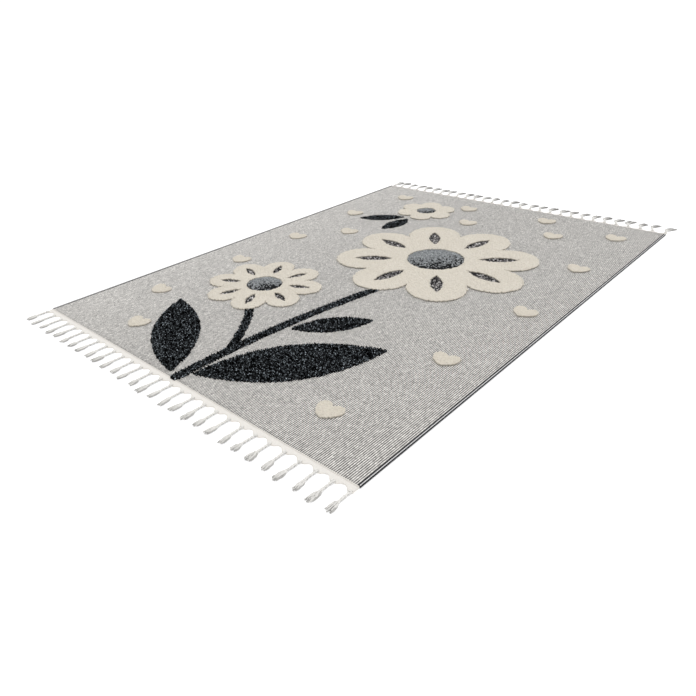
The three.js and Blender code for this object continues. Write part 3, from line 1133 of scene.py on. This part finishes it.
def tassel_of(end, index, chance):
    """One tassel's size, place, twist and line, by its place in the row and by chance."""
    middle = (TASSELS - 1) / 2
    fullness = FULLER["mean"] + FULLER["swing"] * math.cos(index * FULLER["step"])
    spread = SPREAD[end] * fullness * chance.uniform(*SPREAD_RANGE)
    at_corner = index in (0, TASSELS - 1)
    shorter = SHORTER["most"] * abs(math.sin((index - middle) * SHORTER["step"]))
    return {
        "length": TASSEL_LENGTH * (1 - shorter),
        "centre": tassel_centre(index),
        "aside": tassel_line(end, index),
        "spread": CORNER_SPREAD[end] if at_corner else spread,
        "neck_share": chance.uniform(*NECK_SHARE[end]),
        "twist_pitch": chance.uniform(*TWIST_PITCH),
        "phase": chance.uniform(0, 2 * math.pi),
    }


def neck_place(tassel, number, low, t):
    """A yarn's place beside the tassel's line and its height, in the neck: round its twisting ply."""
    twist = tassel["phase"] + t * tassel["length"] / tassel["twist_pitch"] * 2 * math.pi
    ply = twist + (0 if low else math.pi)
    own = twist * YARN_TWIST + number * YARN_STEP
    root = max(0, 1 - t / ROOT_SHARE)
    x = (PLY_ORBIT + ROOT_WIDER * root) * math.cos(ply) + YARN_ORBIT[0] * math.cos(own)
    z = NECK_HEIGHT + (PLY_ORBIT - ROOT_FLATTER * root) * math.sin(ply) + YARN_ORBIT[1] * math.sin(own)
    return x, z


def brush_place(tassel, side, wave, low, opening, t):
    """A yarn's place beside the tassel's line and its height, in the brush: fanned out in two layers."""
    full = BRUSH_FULL + BRUSH_FLARE * max(0, (t - FLARE_START) / (1 - FLARE_START))
    x = side * tassel["spread"] * full + wave * math.sin(t * WAVE_TURN)
    z = LOW_LAYER if low else HIGH_LAYER - HIGH_LAYER_FALL * opening * t
    return x, z


def root_knot(centre, sign):
    """The small wrapped knot where a tassel leaves the band."""
    y = sign * (FAR_Y + BAND_DEPTH + KNOT["out"])
    line = []
    for i in range(KNOT_STEPS + 1):
        angle = math.pi * i / KNOT_STEPS
        x = centre + KNOT["half"] * math.cos(angle)
        line.append((x, y, KNOT["height"] + KNOT["rise"] * math.sin(angle), KNOT["radius"]))
    return line


def tassel_yarns(end, index, chance):
    """The yarns of one tassel: two plies twisted as a neck, then spread as a brush on the floor."""
    sign = ENDS[end]
    tassel = tassel_of(end, index, chance)
    steps = TASSEL_STEPS[end]
    lines = []
    for number, side in enumerate(LOW_YARNS + HIGH_YARNS):
        low = number < len(LOW_YARNS)
        side += chance.uniform(-YARN_ASIDE, YARN_ASIDE)
        reach = tassel["length"] * (1 - chance.uniform(0, YARN_SHORTER) - OUTER_SHORTER * abs(side))
        wave = chance.uniform(-YARN_WAVE, YARN_WAVE)
        line = []
        for i in range(steps + 1):
            t = i / steps
            opening = min(1, max(0, (t - tassel["neck_share"]) / OPENING_SHARE))
            ease = opening * opening * (3 - 2 * opening)
            neck_x, neck_z = neck_place(tassel, number, low, t)
            brush_x, brush_z = brush_place(tassel, side, wave, low, opening, t)
            tip = max(0, (t - TIP_START) / (1 - TIP_START))
            radius = YARN_RADIUS + YARN_SWELL * ease - TIP_THINNER * tip
            x = tassel["centre"] + tassel["aside"](t) + neck_x * (1 - ease) + brush_x * ease
            y = FAR_Y + BAND_DEPTH - ROOT_DEPTH + t * (reach + ROOT_DEPTH)
            z = neck_z * (1 - ease) + brush_z * ease
            line.append((sign * x, sign * y, max(z, radius + FLOOR_CLEARANCE), radius))
        lines.append(line)
    lines.append(root_knot(sign * tassel["centre"], sign))
    return lines


def make_tassels(end, materials):
    chance = random.Random(TASSEL_SEED[end])
    lines = []
    for index in range(TASSELS):
        lines += tassel_yarns(end, index, chance)
    piece = tube("tassels_" + end, lines, materials["tassel_" + end])
    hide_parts("fringe_" + end)
    return piece


def make_floor(materials):
    """A wide plain floor, a little below the rug."""
    bm = bmesh.new()
    bmesh.ops.create_grid(bm, x_segments=1, y_segments=1, size=FLOOR_HALF)
    for vert in bm.verts:
        vert.co.z = -FLOOR_DROP
    floor = to_object("floor", mesh_of(bm, "floor"))
    floor.data.materials.append(materials["floor"])


def make_light():
    """A soft sky, whiter near the horizon, and one large soft light from above, a little behind."""
    world = bpy.data.worlds.new("studio")
    world.use_nodes = True
    tree = world.node_tree
    height = axes(tree, node(tree, "ShaderNodeTexCoord").outputs["Generated"])["Z"]
    tree.links.new(ramp(tree, height, SKY), tree.nodes["Background"].inputs["Color"])
    bpy.context.scene.world = world
    data = bpy.data.lights.new("soft_key", "SUN")
    data.angle = LIGHT_WIDTH
    data.energy = LIGHT_POWER
    lamp = to_object("soft_key", data)
    lamp.rotation_euler = LIGHT_WAY.to_track_quat("-Z", "Y").to_euler()
    bpy.context.scene.view_settings.view_transform = "Standard"


make_camera()
materials = make_materials()
ground = make_ground(materials)
laid_on = [*make_flowers(materials), make_hearts(materials), make_greenery(materials)]
for side in SIDES:
    laid_on.append(make_edge(side, materials))
    laid_on.append(make_stitch_line(side, materials))
for end in ENDS:
    laid_on.append(make_band(end, materials))
    laid_on.append(make_band_roll(end, materials))
    laid_on.append(make_tassels(end, materials))
make_floor(materials)
make_light()
